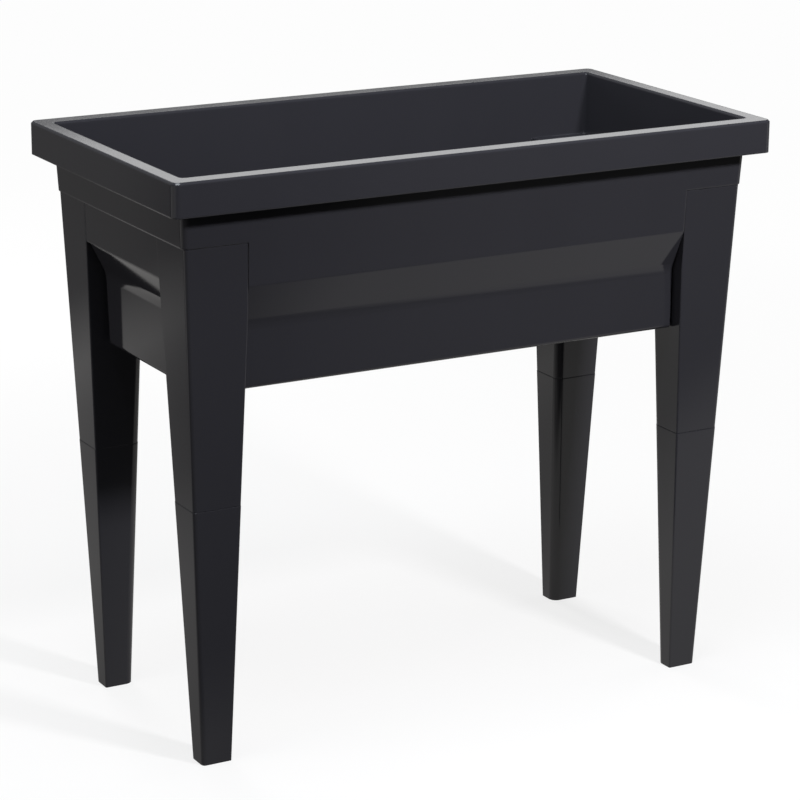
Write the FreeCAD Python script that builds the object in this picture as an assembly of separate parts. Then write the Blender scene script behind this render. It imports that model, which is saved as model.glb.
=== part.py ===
import FreeCAD, Part
import math
import os

# A moulded planter table: a deep tub with an overhanging rim, carried at its four corners by two end
# frames, each of two hollow upper legs and a cross rail, with four lower legs plugged in from below.
# Millimetres. X runs along the table, Y to its back, Z up; the origin is on the floor under its middle.

# Overall size, over the rim
table_length = 764.0
table_depth = 390.0
table_height = 680.0

# Tub: rim and walls
rim_height = 38.2
end_rim_reach = 18.0
front_rim_reach = 22.0
rim_corner_radius = 9.0
rim_edge_chamfer = 2.2
tub_wall = 3.0
tub_draft = 0.05
tub_corner_radius = 7.0
rim_rib_thickness = 2.5
rim_rib_rise = 9.0
long_rim_ribs = 4
end_rim_ribs = 2

# Tub: levels below the rim
band_height = 41.0
band_edge_chamfer = 1.2
apron_height = 48.3
apron_edge_radius = 2.0
front_bevel_drop = 47.5
front_bevel_inset = 20.0
end_bevel_drop = 36.0
end_bevel_inset = 18.0
cove_radius = 34.0
trough_height = 73.5
front_trough_draft = 0.012
end_trough_draft = 0.035
trough_edge_radius = 5.0

# Tub: floor, its ribs and the drains
floor_recess = 10.0
floor_thickness = 3.0
floor_edge_radius = 8.0
floor_rib_thickness = 2.5
long_floor_ribs = 2
cross_floor_ribs = 5
drain_spacing = 380.0
drain_bore_radius = 12.0
drain_collar_wall = 4.0
drain_collar_height = 12.0

# Legs and end frames
end_frame_setback = 2.2
front_frame_setback = 0.8
leg_top_width = 78.5
leg_top_depth = 72.5
foot_width = 35.5
foot_depth = 26.0
leg_lean_x = 24.5
leg_lean_y = 22.0
leg_outer_radius = 4.5
leg_inner_radius = 10.0
leg_side_radius = 1.5
leg_wall = 3.2
leg_joint_height = 303.5
joint_step = 0.3
spigot_length = 58.0
spigot_taper = 0.4
spigot_clearance = 0.3
spigot_end_gap = 4.0
snap_ridge_height = 3.0
snap_ridge_stand = 0.6
snap_ridge_length = 16.0
snap_ridge_rise = 44.0
foot_thickness = 4.0
rail_height = 46.0
rail_thickness = 3.0
rail_setback = 0.8
rail_top_gap = 0.5
rail_edge_radius = 1.0

# How the tub seats on the frames
pocket_clearance = 0.4
pocket_draft = 0.01
end_wall_gap = 0.5
stub_depth = 30.0
stub_wall = 2.5
stub_clearance = 0.5
stub_taper = 0.6
barb_width = 12.0
barb_height = 5.0
barb_stand = 2.6
barb_drop = 16.0
window_clearance = 0.6

# Drain plugs
plug_clearance = 0.3
plug_seat_gap = 0.2
plug_flange_radius = 18.0
plug_flange_sides = 8
plug_flange_thickness = 2.5
plug_stem_length = 17.0
plug_grip_length = 20.0
plug_grip_thickness = 4.0
plug_grip_height = 6.0
plug_grip_chamfer = 3.0
plug_room = 2.0

# Levels and half sizes that follow from these
rim_bottom = table_height - rim_height
ledge_level = rim_bottom - band_height
apron_level = ledge_level - apron_height
bevel_level = apron_level - front_bevel_drop
trough_level = bevel_level - trough_height
floor_underside = trough_level + floor_recess
floor_level = floor_underside + floor_thickness

# How far cutting shapes reach past what they cut, and how near counts as the same place
overshoot = 25.0
tolerance = 0.01


def basin_half_x(level):
    """Half the basin's outer length at a level; its walls lean outwards going up."""
    return table_length / 2 - end_rim_reach - tub_draft * (table_height - level)


def basin_half_y(level):
    return table_depth / 2 - front_rim_reach - tub_draft * (table_height - level)


def leg_sides(level, inset=0.0):
    """The back right leg's four sides at a level: low x, high x, low y, high y, each moved in by inset."""
    share = level / ledge_level
    top_x = basin_half_x(ledge_level) - end_frame_setback
    top_y = basin_half_y(ledge_level) - front_frame_setback
    high_x = top_x - leg_lean_x * (1 - share)
    high_y = top_y - leg_lean_y * (1 - share)
    width = foot_width + (leg_top_width - foot_width) * share
    depth = foot_depth + (leg_top_depth - foot_depth) * share
    return high_x - width + inset, high_x - inset, high_y - depth + inset, high_y - inset


def pocket_side_x(level):
    """Beside the bevel and the apron the leg's inner side leaves its taper and follows the tub's pocket."""
    return leg_sides(bevel_level)[0] + pocket_draft * (level - bevel_level)


def leg_radii(inset=0.0):
    """The leg's four corner radii in the order of tapered_block, as they are on a skin moved in by inset."""
    radii = (leg_inner_radius, leg_side_radius, leg_outer_radius, leg_side_radius)
    return [inner_radius(radius, inset) for radius in radii]


def tapered_block(low_sides, low_level, high_sides, high_level, radii, flat=False):
    """A block with four flat leaning sides between two level rectangles, its upright edges rounded.
    The radii go round from the corner at low x and low y to the ones at high x, high y and low x.
    Flat corners, for skins out of sight, are chamfers that touch the middle of the same arc."""
    rings = []
    for (low_x, high_x, low_y, high_y), level in ((low_sides, low_level), (high_sides, high_level)):
        corners = ((low_x, low_y), (high_x, low_y), (high_x, high_y), (low_x, high_y))
        rings.append([FreeCAD.Vector(x, y, level) for x, y in corners])
    low, high = rings
    outlines = [low[::-1], high]
    for number in range(4):
        after = (number + 1) % 4
        outlines.append([low[number], low[after], high[after], high[number]])
    faces = [Part.Face(Part.makePolygon(outline + outline[:1])) for outline in outlines]
    block = Part.Solid(Part.Shell(faces))
    for bottom, top, radius in zip(low, high, radii):
        middle = (bottom + top) * 0.5
        corner = [edge for edge in block.Edges if edge.CenterOfMass.distanceToPoint(middle) < tolerance]
        if radius > 0 and flat:
            block = block.makeChamfer(radius * (2 - 2 ** 0.5), corner)
        elif radius > 0:
            block = block.makeFillet(radius, corner)
    return block


def inner_radius(outer_radius, inset):
    """The corner radius of a skin moved in from an outer one; it ends as a sharp corner."""
    return max(outer_radius - inset, 0.0)


def centred(half_x, half_y):
    return -half_x, half_x, -half_y, half_y


def box_between(low, high):
    size = [b - a for a, b in zip(low, high)]
    return Part.makeBox(*size, FreeCAD.Vector(*low))


def edges_at(shape, level):
    """The edges whose middle lies on a level."""
    return [edge for edge in shape.Edges if abs(edge.CenterOfMass.z - level) < tolerance]


def mirrored(shape, x=False, y=False):
    centre = FreeCAD.Vector(0, 0, 0)
    if x:
        shape = shape.mirror(centre, FreeCAD.Vector(1, 0, 0))
    if y:
        shape = shape.mirror(centre, FreeCAD.Vector(0, 1, 0))
    return shape


def wall_line(first_half, apron_slope, bevel_drop, bevel_inset, trough_draft):
    """One side of the tub below its ledge, top to bottom: half size and level at each change of slope."""
    low_level = apron_level - bevel_drop
    apron_half = first_half - apron_slope * apron_height
    bevel_half = apron_half - bevel_inset
    trough_half = bevel_half - trough_draft * (low_level - trough_level)
    halves = (first_half, apron_half, bevel_half, trough_half)
    return list(zip(halves, (ledge_level, apron_level, low_level, trough_level)))


front_half = basin_half_y(ledge_level)
front_line = wall_line(front_half, tub_draft, front_bevel_drop, front_bevel_inset, front_trough_draft)
rail_outer_half = leg_sides(ledge_level)[1] - rail_setback
leg_slope_x = leg_lean_x / ledge_level
end_half = rail_outer_half - rail_thickness - end_wall_gap
end_line = wall_line(end_half, leg_slope_x, end_bevel_drop, end_bevel_inset, end_trough_draft)


def side_prism(line, along_x, inset, bottom):
    """The tub's section between two opposite walls, as a prism along X or Y, moved in by inset."""
    (top_half, top), (apron_half, apron), (bevel_half, bevel), (low_half, low) = line
    rise = overshoot if inset else 2 * band_edge_chamfer
    top_point = (top_half + (top_half - apron_half) / (top - apron) * rise, top + rise)
    low_point = (low_half - (bevel_half - low_half) / (bevel - low) * (low - bottom), bottom)
    half_points = [top_point, (apron_half, apron), (bevel_half, bevel), low_point]
    outline = half_points + [(-half, level) for half, level in reversed(half_points)]
    length = (table_length if along_x else table_depth) / 2
    places = []
    for half, level in outline + outline[:1]:
        x, y = (-length, half) if along_x else (half, -length)
        places.append(FreeCAD.Vector(x, y, level))
    wire = Part.makePolygon(places)
    if inset:
        wire = wire.makeOffset2D(-inset, 2, False, False)
    path = FreeCAD.Vector(2 * length, 0, 0) if along_x else FreeCAD.Vector(0, 2 * length, 0)
    prism = Part.Face(wire).extrude(path)
    levels = sorted({round(vertex.Z, 4) for vertex in prism.Vertexes})
    radii = [trough_edge_radius, cove_radius, apron_edge_radius]
    if inset:
        radii = [floor_edge_radius, cove_radius + inset]
    for level, radius in zip(levels, radii):
        prism = prism.makeFillet(radius, [edge for edge in edges_at(prism, level) if edge.Length > length])
    return prism


def trough_block(inset, bottom):
    """All four sides of the tub below its ledge, before the corners are notched."""
    return side_prism(front_line, True, inset, bottom).common(side_prism(end_line, False, inset, bottom))


def pocket(grow, top, bottom):
    """The notch that a leg's upper end takes out of the tub's back right corner, grown by a wall if asked."""
    _, _, low_y, _ = leg_sides(ledge_level)
    outer_x = table_length / 2 + overshoot
    outer_y = table_depth / 2 + overshoot
    sides = []
    for level in (bottom, top):
        back = pocket_clearance + grow
        side_y = low_y - pocket_draft * (ledge_level - level)
        sides.append((pocket_side_x(level) - back, outer_x, side_y - back, outer_y))
    radii = [leg_inner_radius + pocket_clearance + grow] * 4
    return tapered_block(sides[0], bottom, sides[1], top, radii, flat=True)


def each_corner(shape):
    return [mirrored(shape, x, y) for x in (False, True) for y in (False, True)]


def corner_stub():
    """The hollow stub under a pocket's ceiling that plugs into the leg's open top, with its snap barb."""
    low_level = ledge_level - stub_depth
    skin = leg_wall + stub_clearance
    blocks = []
    for inset in (skin, skin + stub_wall):
        sides = []
        for taper, level in ((stub_taper, low_level), (0.0, ledge_level)):
            _, high_x, low_y, high_y = leg_sides(low_level, inset + taper)
            sides.append((pocket_side_x(level) + inset + taper, high_x, low_y, high_y))
        blocks.append(tapered_block(sides[0], low_level, sides[1], ledge_level, leg_radii(inset), flat=True))
    stub = blocks[0].cut(blocks[1])
    barb_top = ledge_level - barb_drop + barb_height
    face = pocket_side_x(low_level) + skin
    middle = barb_middle()
    half = barb_width / 2
    root = face + stub_taper
    profile = [(root, barb_top), (face - barb_stand, barb_top), (root, barb_top - barb_height)]
    places = [FreeCAD.Vector(x, middle - half, z) for x, z in profile + profile[:1]]
    barb = Part.Face(Part.makePolygon(places)).extrude(FreeCAD.Vector(0, barb_width, 0))
    return stub.fuse(barb)


def barb_middle():
    _, _, low_y, high_y = leg_sides(ledge_level)
    return (low_y + high_y) / 2


def barb_window():
    """The opening through the leg's inner wall that the stub's barb clicks into."""
    low_x = pocket_side_x(ledge_level)
    middle = barb_middle()
    half = barb_width / 2 + window_clearance
    top = ledge_level - barb_drop + barb_height + window_clearance
    bottom = ledge_level - barb_drop - window_clearance
    return box_between((low_x - leg_wall, middle - half, bottom), (low_x + 2 * leg_wall, middle + half, top))


def rim_ribs(channel):
    """Thin webs that tie the rim's skirt to the basin wall, hidden under the rim."""
    low = rim_bottom + rim_rib_rise
    half_x = table_length / 2
    half_y = table_depth / 2
    half = rim_rib_thickness / 2
    ribs = []
    for number in range(long_rim_ribs):
        x = table_length * ((number + 0.5) / long_rim_ribs - 0.5)
        ribs.append(box_between((x - half, -half_y, low), (x + half, half_y, table_height - tub_wall)))
    for number in range(end_rim_ribs):
        y = table_depth * ((number + 0.5) / end_rim_ribs - 0.5)
        ribs.append(box_between((-half_x, y - half, low), (half_x, y + half, table_height - tub_wall)))
    return [rib.common(channel) for rib in ribs]


def basin_block(inset, bottom, top):
    """The basin between two levels, moved in by a wall's thickness measured across the wall."""
    across = inset * (1 + tub_draft ** 2) ** 0.5
    sides = []
    for level in (bottom, top):
        sides.append(centred(basin_half_x(level) - across, basin_half_y(level) - across))
    return tapered_block(sides[0], bottom, sides[1], top, [inner_radius(tub_corner_radius, inset)] * 4)


def planter_tub():
    half_x = table_length / 2
    half_y = table_depth / 2
    # The rim is a channel open below: a top plate with a skirt, chamfered along its edges
    rim_sides = centred(half_x, half_y)
    rim = tapered_block(rim_sides, rim_bottom, rim_sides, table_height, [rim_corner_radius] * 4)
    rim = rim.makeChamfer(rim_edge_chamfer, edges_at(rim, table_height))
    skirt_sides = centred(half_x - tub_wall, half_y - tub_wall)
    skirt_radii = [inner_radius(rim_corner_radius, tub_wall)] * 4
    plate_level = table_height - tub_wall
    channel = tapered_block(skirt_sides, rim_bottom, skirt_sides, plate_level, skirt_radii, flat=True)
    # The basin: four leaning walls from the ledge over the frames up to the rim
    basin = basin_block(0.0, ledge_level, table_height)
    basin = basin.makeChamfer(band_edge_chamfer, edges_at(basin, ledge_level))
    void_level = ledge_level + tub_wall
    basin_void = basin_block(tub_wall, void_level, table_height + overshoot)
    # Below the ledge: apron, bevel, cove and trough on all sides, notched at the corners for the legs
    lower = trough_block(0.0, trough_level)
    for notch in each_corner(pocket(0.0, ledge_level + overshoot, trough_level - overshoot)):
        lower = lower.cut(notch)
    # The space for soil, and the shallow space under the floor between its ribs
    void = trough_block(tub_wall, floor_level - tub_wall)
    below = trough_level - overshoot
    under = trough_block(tub_wall, below - overshoot)
    under = under.common(box_between((-half_x, -half_y, below), (half_x, half_y, floor_underside)))
    for notch in each_corner(pocket(tub_wall, void_level, below)):
        void = void.cut(notch)
        under = under.cut(notch)
    for rib in floor_ribs():
        under = under.cut(rib)
    body = basin.fuse([rim.cut(channel), lower] + rim_ribs(channel))
    body = body.fuse(each_corner(corner_stub())).removeSplitter()
    body = body.cut([basin_void, void, under])
    inner_rim = [edge for edge in edges_at(body, table_height) if is_inner_rim(edge.CenterOfMass)]
    body = body.makeChamfer(rim_edge_chamfer, inner_rim)
    # Each drain is a bore through a raised collar, with room under the floor for its plug
    for drain_x in (-drain_spacing / 2, drain_spacing / 2):
        collar = Part.makeCylinder(drain_bore_radius + drain_collar_wall, drain_collar_height,
                                   FreeCAD.Vector(drain_x, 0, floor_level))
        below = FreeCAD.Vector(drain_x, 0, trough_level)
        bore_length = floor_recess + floor_thickness + drain_collar_height
        bore = Part.makeCylinder(drain_bore_radius, bore_length, below)
        room = Part.makeCylinder(plug_flange_radius + plug_room, floor_recess, below)
        body = body.fuse(collar).cut([bore, room])
    return body.removeSplitter()


def is_inner_rim(centre):
    return abs(centre.x) < basin_half_x(table_height) and abs(centre.y) < basin_half_y(table_height)


def floor_ribs():
    """Stiffening ribs under the floor, flush with the trough's lower edge."""
    half_x = table_length / 2
    half_y = table_depth / 2
    half = floor_rib_thickness / 2
    ribs = []
    trough_half_y = front_line[-1][0]
    trough_half_x = end_line[-1][0]
    for number in range(long_floor_ribs):
        y = trough_half_y * ((number + 1) / (long_floor_ribs + 1) * 2 - 1)
        ribs.append(box_between((-half_x, y - half, trough_level), (half_x, y + half, floor_underside)))
    for number in range(cross_floor_ribs):
        x = trough_half_x * ((number + 1) / (cross_floor_ribs + 1) * 2 - 1)
        ribs.append(box_between((x - half, -half_y, trough_level), (x + half, half_y, floor_underside)))
    return ribs


def leg_block(bottom, top, inset=0.0):
    """The leg between two levels, moved in by inset."""
    sides = leg_sides(bottom, inset), leg_sides(top, inset)
    return tapered_block(sides[0], bottom, sides[1], top, leg_radii(inset), flat=inset > 0)


def joint_block(top, low_inset, high_inset):
    """The leg joint's outline carried straight up to a level, so that the legs plug in upright."""
    low_sides = leg_sides(leg_joint_height, low_inset)
    high_sides = leg_sides(leg_joint_height, high_inset)
    return tapered_block(low_sides, leg_joint_height, high_sides, top, leg_radii(low_inset), flat=True)


def snap_ridges(grow):
    """Two ridges on the spigot's inner and outer faces, or grown a little, the grooves they click into."""
    inset = leg_wall + spigot_clearance
    low_x, high_x, low_y, high_y = leg_sides(leg_joint_height, inset)
    half = snap_ridge_length / 2 + grow
    middle_y = (low_y + high_y) / 2
    level = leg_joint_height + snap_ridge_rise
    rise = snap_ridge_height / 2 + grow
    ridges = []
    for face, outward in ((low_x, -1), (high_x, 1)):
        root = face - outward * (spigot_taper + spigot_clearance)
        tip = face + outward * (snap_ridge_stand + grow)
        profile = [(root, level - rise), (tip, level), (root, level + rise)]
        places = [FreeCAD.Vector(x, middle_y - half, z) for x, z in profile + profile[:1]]
        ridges.append(Part.Face(Part.makePolygon(places)).extrude(FreeCAD.Vector(0, 2 * half, 0)))
    return ridges


def upper_leg():
    """A hollow leg from the joint up into the tub's pocket, open at both ends and trimmed to the pocket."""
    socket_top = leg_joint_height + spigot_length + spigot_end_gap
    skins = []
    for inset, bottom in ((0.0, leg_joint_height), (leg_wall, socket_top)):
        room = pocket(-pocket_clearance - inset, ledge_level + overshoot, bottom)
        skins.append(leg_block(bottom, ledge_level, inset).common(room))
    leg, hollow = skins
    socket = joint_block(socket_top, leg_wall, leg_wall + spigot_taper)
    return leg.cut([hollow, socket, barb_window()] + snap_ridges(spigot_clearance))


def end_frame():
    """The right end's frame: two upper legs and the cross rail between them."""
    leg = upper_leg()
    rail_top = ledge_level - rail_top_gap
    rail_bottom = ledge_level - rail_height
    face = []
    for level in (rail_bottom, rail_top):
        face.append((rail_outer_half - leg_slope_x * (ledge_level - level), level))
    back = [(x - rail_thickness, level) for x, level in reversed(face)]
    half = (leg_sides(rail_bottom)[2] + leg_sides(ledge_level, leg_wall)[2]) / 2
    profile = face + back
    places = [FreeCAD.Vector(x, -half, z) for x, z in profile + profile[:1]]
    rail = Part.Face(Part.makePolygon(places)).extrude(FreeCAD.Vector(0, 2 * half, 0))
    long_edges = [edge for edge in edges_at(rail, rail_bottom) if edge.Length > half]
    rail = rail.makeFillet(rail_edge_radius, long_edges)
    return rail.fuse([leg, mirrored(leg, y=True)]).removeSplitter()


def lower_leg():
    """A hollow tapered leg with a closed foot and a spigot on top that plugs into the upper leg."""
    spigot_top = leg_joint_height + spigot_length
    leg = leg_block(0.0, leg_joint_height, -joint_step)
    skin = leg_wall + spigot_clearance
    spigot = joint_block(spigot_top, skin, skin + spigot_taper)
    core = skin + spigot_taper + leg_wall
    low_sides = leg_sides(foot_thickness, leg_wall)
    high_sides = leg_sides(leg_joint_height, core)
    radii = leg_radii(leg_wall)
    hollow = tapered_block(low_sides, foot_thickness, high_sides, leg_joint_height, radii, flat=True)
    mouth = joint_block(spigot_top + overshoot, core, core)
    return leg.fuse([spigot] + snap_ridges(0.0)).cut([hollow, mouth])


def drain_plug():
    """A push-in stopper for the left drain: stem, many-sided sealing flange and a grip to pull it out by."""
    centre_x = -drain_spacing / 2
    seat = floor_underside - plug_seat_gap
    grip_top = seat - plug_flange_thickness
    corners = []
    for number in range(plug_flange_sides):
        turn = 2 * math.pi * (number + 0.5) / plug_flange_sides
        x = centre_x + plug_flange_radius * math.cos(turn)
        corners.append(FreeCAD.Vector(x, plug_flange_radius * math.sin(turn), grip_top))
    outline = Part.Face(Part.makePolygon(corners + corners[:1]))
    flange = outline.extrude(FreeCAD.Vector(0, 0, plug_flange_thickness))
    stem = Part.makeCylinder(drain_bore_radius - plug_clearance, plug_flange_thickness + plug_stem_length,
                             FreeCAD.Vector(centre_x, 0, grip_top))
    half_grip = plug_grip_length / 2
    grip_level = grip_top - plug_grip_height
    grip = box_between((centre_x - half_grip, -plug_grip_thickness / 2, grip_level),
                       (centre_x + half_grip, plug_grip_thickness / 2, grip_top))
    ends = [edge for edge in edges_at(grip, grip_level) if abs(edge.CenterOfMass.y) < tolerance]
    grip = grip.makeChamfer(plug_grip_chamfer, ends)
    return flange.fuse([stem, grip]).removeSplitter()


def export(name, shape):
    solids = shape.Solids
    volume = round(shape.Volume / 1000, 1)
    print(name, "solids", len(solids), "valid", shape.isValid(), "volume", volume, "cm3")
    solid = solids[0] if len(solids) == 1 else shape
    solid.exportStep("parts/" + name + ".step")


os.makedirs("parts", exist_ok=True)
export("planter_tub", planter_tub())
frame = end_frame()
export("right_end_frame", frame)
export("left_end_frame", mirrored(frame, x=True))
leg = lower_leg()
for row, at_front in (("front", True), ("back", False)):
    for side, at_left in (("left", True), ("right", False)):
        export(row + "_" + side + "_lower_leg", mirrored(leg, at_left, at_front))
plug = drain_plug()
export("left_drain_plug", plug)
export("right_drain_plug", mirrored(plug, x=True))
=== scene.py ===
import math

import bmesh
import bpy
from mathutils import Matrix, Vector

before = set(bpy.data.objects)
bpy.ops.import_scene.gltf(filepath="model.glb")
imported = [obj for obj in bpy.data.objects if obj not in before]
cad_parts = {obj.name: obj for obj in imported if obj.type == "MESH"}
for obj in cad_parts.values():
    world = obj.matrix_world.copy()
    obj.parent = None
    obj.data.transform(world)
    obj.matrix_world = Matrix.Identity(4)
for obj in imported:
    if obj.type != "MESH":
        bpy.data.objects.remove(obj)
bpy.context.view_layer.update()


# Lower legs: four hollow tapered legs with closed feet, injection moulded in anthracite polypropylene.
# Each plugs up into its end frame by a spigot with snap ridges. Near the floor the skin is lightly scuffed.

class Shade:
    """One value in a material's node tree. Arithmetic on it adds the Math nodes it needs."""

    def __init__(self, tree, socket=None):
        self.tree = tree
        self.socket = socket

    def node(self, kind, settings=None, sockets=None, output=0):
        """Adds a node of any kind: its settings first, then the values or links of its sockets."""
        added = self.tree.nodes.new("ShaderNode" + kind)
        for name, value in (settings or {}).items():
            if name == "stops":
                ramp = added.color_ramp.elements
                while len(ramp) < len(value):
                    ramp.new(1.0)
                for stop, (place, level) in zip(ramp, value):
                    stop.position = place
                    stop.color = (level, level, level, 1.0)
            else:
                setattr(added, name, value)
        for name, value in (sockets or {}).items():
            if isinstance(value, Shade):
                self.tree.links.new(value.socket, added.inputs[name])
            else:
                added.inputs[name].default_value = value
        return Shade(self.tree, added.outputs[output] if added.outputs else None)

    def maths(self, operation, first, second):
        return self.node("Math", {"operation": operation}, {0: first, 1: second})

    def __add__(self, other):
        return self.maths("ADD", self, other)

    def __radd__(self, other):
        return self.maths("ADD", other, self)

    def __sub__(self, other):
        return self.maths("SUBTRACT", self, other)

    def __rsub__(self, other):
        return self.maths("SUBTRACT", other, self)

    def __mul__(self, other):
        return self.maths("MULTIPLY", self, other)

    def __rmul__(self, other):
        return self.maths("MULTIPLY", other, self)


def blank_nodes(owner):
    """Empties the node tree of a material or a world, and gives the value that new nodes start from."""
    owner.use_nodes = True
    owner.node_tree.nodes.clear()
    return Shade(owner.node_tree)


def graded(value, start, end, first, last, easing="LINEAR"):
    """Goes from the first level to the last as the value goes from start to end, and is level beyond."""
    return value.node("MapRange", {"clamp": True, "interpolation_type": easing}, {
        "Value": value, "From Min": start, "From Max": end, "To Min": first, "To Max": last})


def moulded_plastic(name, tone, roughness, grain, edge_radius, scuffed_below=0.0):
    """Skin with softened edges, fine pits, flow marks, dust on what faces up, and scuffs near the floor."""
    pits_scale, smudge_scale, scuff_scale = 900.0, 28.0, 210.0
    flow_stretch = (9.0, 9.0, 3.0)
    pit_depth = 0.0002
    skin_ior = 1.49
    material = bpy.data.materials.new(name)
    start = blank_nodes(material)
    place = start.node("TexCoord", output="Object")
    height = start.node("SeparateXYZ", sockets={"Vector": place}, output="Z")
    facing = start.node("NewGeometry", output="Normal")
    upward = start.node("SeparateXYZ", sockets={"Vector": facing}, output="Z")
    pits = start.node("TexNoise", sockets={
        "Vector": place, "Scale": pits_scale, "Detail": 3.0, "Roughness": 0.6})
    flow_place = start.node("Mapping", sockets={"Vector": place, "Scale": flow_stretch})
    flow = start.node("TexNoise", sockets={
        "Vector": flow_place, "Scale": 1.0, "Detail": 4.0, "Distortion": 0.6})
    smudge = start.node("TexNoise", sockets={
        "Vector": place, "Scale": smudge_scale, "Detail": 5.0, "Roughness": 0.65})
    scuff = start.node("TexNoise", sockets={
        "Vector": place, "Scale": scuff_scale, "Detail": 6.0, "Roughness": 0.75})

    film = start.node("ValToRGB", {"stops": [(0.55, 0.0), (0.98, 1.0)]}, {"Fac": upward})
    dust = film * (0.35 + 0.65 * smudge)
    near_floor = graded(height, 0.0, max(scuffed_below, 1e-4), 1.0, 0.0)
    rubbed = start.node("ValToRGB", {"stops": [(0.52, 0.0), (0.70, 1.0)]}, {
        "Fac": scuff * (0.45 + 0.55 * near_floor)})

    dark = [channel * 0.95 for channel in tone] + [1.0]
    light = [channel * 1.05 for channel in tone] + [1.0]
    dusty = [channel * 1.25 + 0.004 for channel in tone] + [1.0]
    colour = start.node("Mix", {"data_type": "RGBA"}, {"Factor": flow, 6: dark, 7: light}, output=2)
    colour = start.node("Mix", {"data_type": "RGBA"}, {"Factor": 0.3 * dust, 6: colour, 7: dusty}, output=2)
    colour = start.node("Mix", {"data_type": "RGBA"}, {"Factor": 0.5 * rubbed, 6: colour, 7: dusty}, output=2)
    sheen = roughness + 0.05 * (smudge - 0.5) + 0.03 * (pits - 0.5) + 0.03 * dust + 0.1 * rubbed
    edges = start.node("Bevel", {"samples": 6}, {"Radius": edge_radius})
    bump = start.node("Bump", sockets={
        "Strength": grain, "Distance": pit_depth, "Height": pits + 0.5 * rubbed, "Normal": edges})
    surface = start.node("BsdfPrincipled", sockets={
        "Base Color": colour, "Roughness": sheen, "Normal": bump, "IOR": skin_ior})
    start.node("OutputMaterial", sockets={"Surface": surface})
    return material


anthracite = (0.0280, 0.0281, 0.0340)
leg_plastic = moulded_plastic(
    "leg_plastic", anthracite, roughness=0.09, grain=0.03, edge_radius=0.0015, scuffed_below=0.03)
for row in ("front", "back"):
    for side in ("left", "right"):
        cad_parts[row + "_" + side + "_lower_leg"].data.materials[0] = leg_plastic


# End frames: each is one moulding of two hollow upper legs and the cross rail between them.
# The same plastic and gloss as the lower legs; the tub's stubs drop into the open leg tops and snap in.

frame_plastic = moulded_plastic(
    "frame_plastic", anthracite, roughness=0.09, grain=0.03, edge_radius=0.0015)
for side in ("left", "right"):
    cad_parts[side + "_end_frame"].data.materials[0] = frame_plastic


# Tub: one large moulding with an overhanging rim, leaning basin walls, a bevelled trough and leg pockets.
# The same plastic, a little glossier than the legs and with rounder edges; dust settles on what faces up.

tub_plastic = moulded_plastic(
    "tub_plastic", anthracite, roughness=0.07, grain=0.025, edge_radius=0.0025)
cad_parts["planter_tub"].data.materials[0] = tub_plastic


# Drain plugs: two soft stoppers pushed up into the drain collars from below, pulled out by their grips.
# Black rubber with a dull moulded skin.

plug_black = (0.012, 0.012, 0.0125)
plug_rubber = moulded_plastic(
    "plug_rubber", plug_black, roughness=0.55, grain=0.12, edge_radius=0.0005)
for side in ("left", "right"):
    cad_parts[side + "_drain_plug"].data.materials[0] = plug_rubber


# Studio: a white floor sheet laid square to the camera, which keeps the table's shadow, and a pale surround.
# The plastic mirrors the sheet's glow, which fades toward the front and the left. Of the softboxes it mirrors
# only the one above and the one behind on the right, which brightens the top of the rim.

camera_pan = 0.514483
white = (1.0, 1.0, 1.0, 1.0)
warm_white = (1.0, 0.98, 0.96, 1.0)


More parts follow.
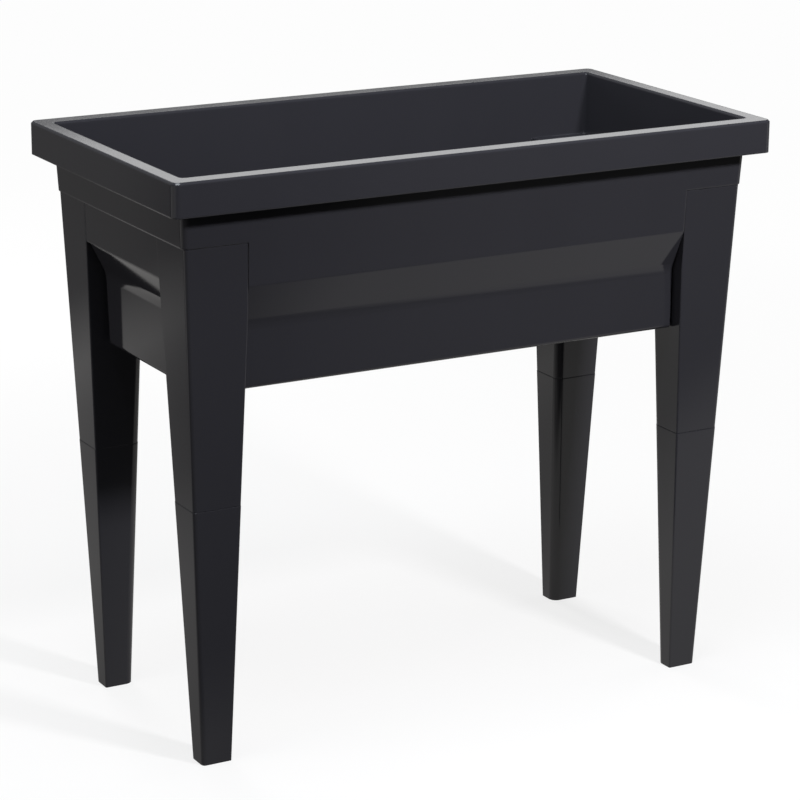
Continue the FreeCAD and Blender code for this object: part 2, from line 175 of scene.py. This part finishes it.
def studio_floor(half_width, front, back, turn):
    """Lays the sheet: white to the camera, a graded glow to mirrored rays, and dim to all other light."""
    mesh = bpy.data.meshes.new("studio_floor")
    sheet = bmesh.new()
    bmesh.ops.create_grid(sheet, x_segments=1, y_segments=1, size=1.0)
    bmesh.ops.scale(sheet, vec=(half_width, (back - front) / 2, 1.0), verts=sheet.verts)
    bmesh.ops.translate(sheet, vec=(0.0, (back + front) / 2, 0.0), verts=sheet.verts)
    bmesh.ops.rotate(sheet, cent=(0.0, 0.0, 0.0), matrix=Matrix.Rotation(turn, 3, "Z"), verts=sheet.verts)
    sheet.to_mesh(mesh)
    sheet.free()
    floor = bpy.data.objects.new("studio_floor", mesh)
    bpy.context.scene.collection.objects.link(floor)

    material = bpy.data.materials.new("studio_white")
    start = blank_nodes(material)
    seen = start.node("LightPath", output="Is Camera Ray")
    mirrored = start.node("LightPath", output="Is Glossy Ray")
    place = start.node("TexCoord", output="Object")
    along = start.node("Mapping", sockets={"Vector": place, "Rotation": (0.0, 0.0, -turn)})
    sideways = start.node("SeparateXYZ", sockets={"Vector": along}, output="X")
    away = start.node("SeparateXYZ", sockets={"Vector": along}, output="Y")
    distance = start.node("VectorMath", {"operation": "LENGTH"}, {0: place}, output="Value")

    # Places on the sheet are metres from the table's middle: away from the camera, and sideways to its right.
    front_to_back = graded(away, -0.45, 1.05, 0.0, 1.0)
    glow_levels = [
        (0.0, 0.08), (0.09, 0.42), (0.22, 0.5), (0.42, 0.55),
        (0.6, 0.37), (0.7, 0.39), (0.8, 0.5), (0.97, 0.16)]
    fade = start.node("ValToRGB", {"stops": glow_levels}, {"Fac": front_to_back})
    dim_left = graded(away + 0.61 * sideways, -0.45, -0.05, 0.2, 1.0, easing="SMOOTHSTEP")
    near_left = graded(away, 0.05, 0.3, 0.35, 0.0) * graded(away + 0.8 * sideways, -0.45, -0.35, 1.0, 0.0)
    far_left = near_left * graded(sideways, -1.8, -1.2, 1.0, 0.0)
    mirror_glow = start.node("Emission", sockets={
        "Color": warm_white, "Strength": fade * (dim_left + near_left) + far_left})

    whiteness = graded(distance, 0.4, 2.4, 0.78, 0.98)
    paint = start.node("BsdfDiffuse", sockets={"Color": 0.05 + 0.75 * seen})
    sheet_glow = start.node("Emission", sockets={"Color": white, "Strength": 1.0})
    camera_view = start.node("MixShader", sockets={0: whiteness * seen, 1: paint, 2: sheet_glow})
    surface = start.node("MixShader", sockets={0: mirrored, 1: camera_view, 2: mirror_glow})
    start.node("OutputMaterial", sockets={"Surface": surface})
    mesh.materials.append(material)


studio_floor(half_width=5.0, front=-5.0, back=6.0, turn=-camera_pan)

world = bpy.data.worlds.new("studio")
bpy.context.scene.world = world
start = blank_nodes(world)
seen = start.node("LightPath", output="Is Camera Ray")
direction = start.node("TexCoord", output="Generated")
toward_back = start.node("SeparateXYZ", sockets={"Vector": direction}, output="Y")
surround = graded(toward_back, 0.2, 0.8, 0.07, 0.22)
backdrop = start.node("Background", sockets={
    "Color": white, "Strength": start.maths("MAXIMUM", seen, surround)})
start.node("OutputWorld", sockets={"Surface": backdrop})


def softbox(name, place, aim, sides, power, colour, mirrored):
    """Hangs a soft lamp that the camera doesn't see, and that the plastic mirrors only if asked to."""
    lamp = bpy.data.lights.new(name, "AREA")
    lamp.shape = "RECTANGLE"
    lamp.size, lamp.size_y = sides
    lamp.energy = power
    lamp.color = colour
    holder = bpy.data.objects.new(name, lamp)
    bpy.context.scene.collection.objects.link(holder)
    holder.visible_camera = False
    holder.visible_glossy = mirrored
    holder.location = place
    holder.rotation_euler = (Vector(aim) - Vector(place)).to_track_quat("-Z", "Y").to_euler()


softbox("key_light", place=(0.5, -1.6, 1.58), aim=(0.0, 0.0, 0.5), sides=(0.22, 0.22),
        power=36.0, colour=(1.0, 0.99, 1.0), mirrored=False)
softbox("left_light", place=(-2.4, -0.1, 0.9), aim=(0.0, 0.0, 0.45), sides=(1.4, 1.4),
        power=16.0, colour=(1.0, 0.96, 0.9), mirrored=False)
softbox("right_light", place=(2.4, 0.3, 0.9), aim=(0.0, 0.0, 0.45), sides=(1.4, 1.4),
        power=16.0, colour=(1.0, 0.98, 0.96), mirrored=False)
softbox("back_light", place=(0.0, 2.5, 1.15), aim=(0.0, 0.0, 0.4), sides=(0.8, 0.8),
        power=30.0, colour=(1.0, 0.99, 1.0), mirrored=False)
softbox("top_light", place=(-0.5, -0.35, 2.3), aim=(0.0, 0.0, 0.5), sides=(1.0, 1.0),
        power=26.0, colour=(0.9, 0.95, 1.0), mirrored=True)
softbox("rim_light", place=(1.35, 2.3, 1.59), aim=(1.35, 0.0, 1.59), sides=(2.1, 0.87),
        power=5.8, colour=(1.0, 1.0, 1.0), mirrored=True)


# Camera: stands at the photograph's viewing angle, in front of the left end and above the rim.
# Its place, its angles and its focal length were fitted to the rim, the legs and the feet.

camera_place = (-1.647456, -2.913325, 1.325660)
camera_tilt, camera_roll = 0.285249, 0.007551
focal_pixels, image_pixels, sensor_mm = 2947.996, 800, 36.0

level_forward = Vector((math.sin(camera_pan), math.cos(camera_pan), 0.0))
forward = math.cos(camera_tilt) * level_forward - Vector((0.0, 0.0, math.sin(camera_tilt)))
level_right = Vector((math.cos(camera_pan), -math.sin(camera_pan), 0.0))
level_up = level_right.cross(forward)
right = math.cos(camera_roll) * level_right + math.sin(camera_roll) * level_up
up = -math.sin(camera_roll) * level_right + math.cos(camera_roll) * level_up
lens = bpy.data.cameras.new("photo_camera")
lens.sensor_fit = "HORIZONTAL"
lens.sensor_width = sensor_mm
lens.lens = focal_pixels / image_pixels * sensor_mm
camera = bpy.data.objects.new("photo_camera", lens)
bpy.context.scene.collection.objects.link(camera)
aim = Matrix((right, up, -forward)).transposed().to_4x4()
camera.matrix_world = Matrix.Translation(camera_place) @ aim
bpy.context.scene.camera = camera

bpy.context.scene.view_settings.view_transform = "Standard"
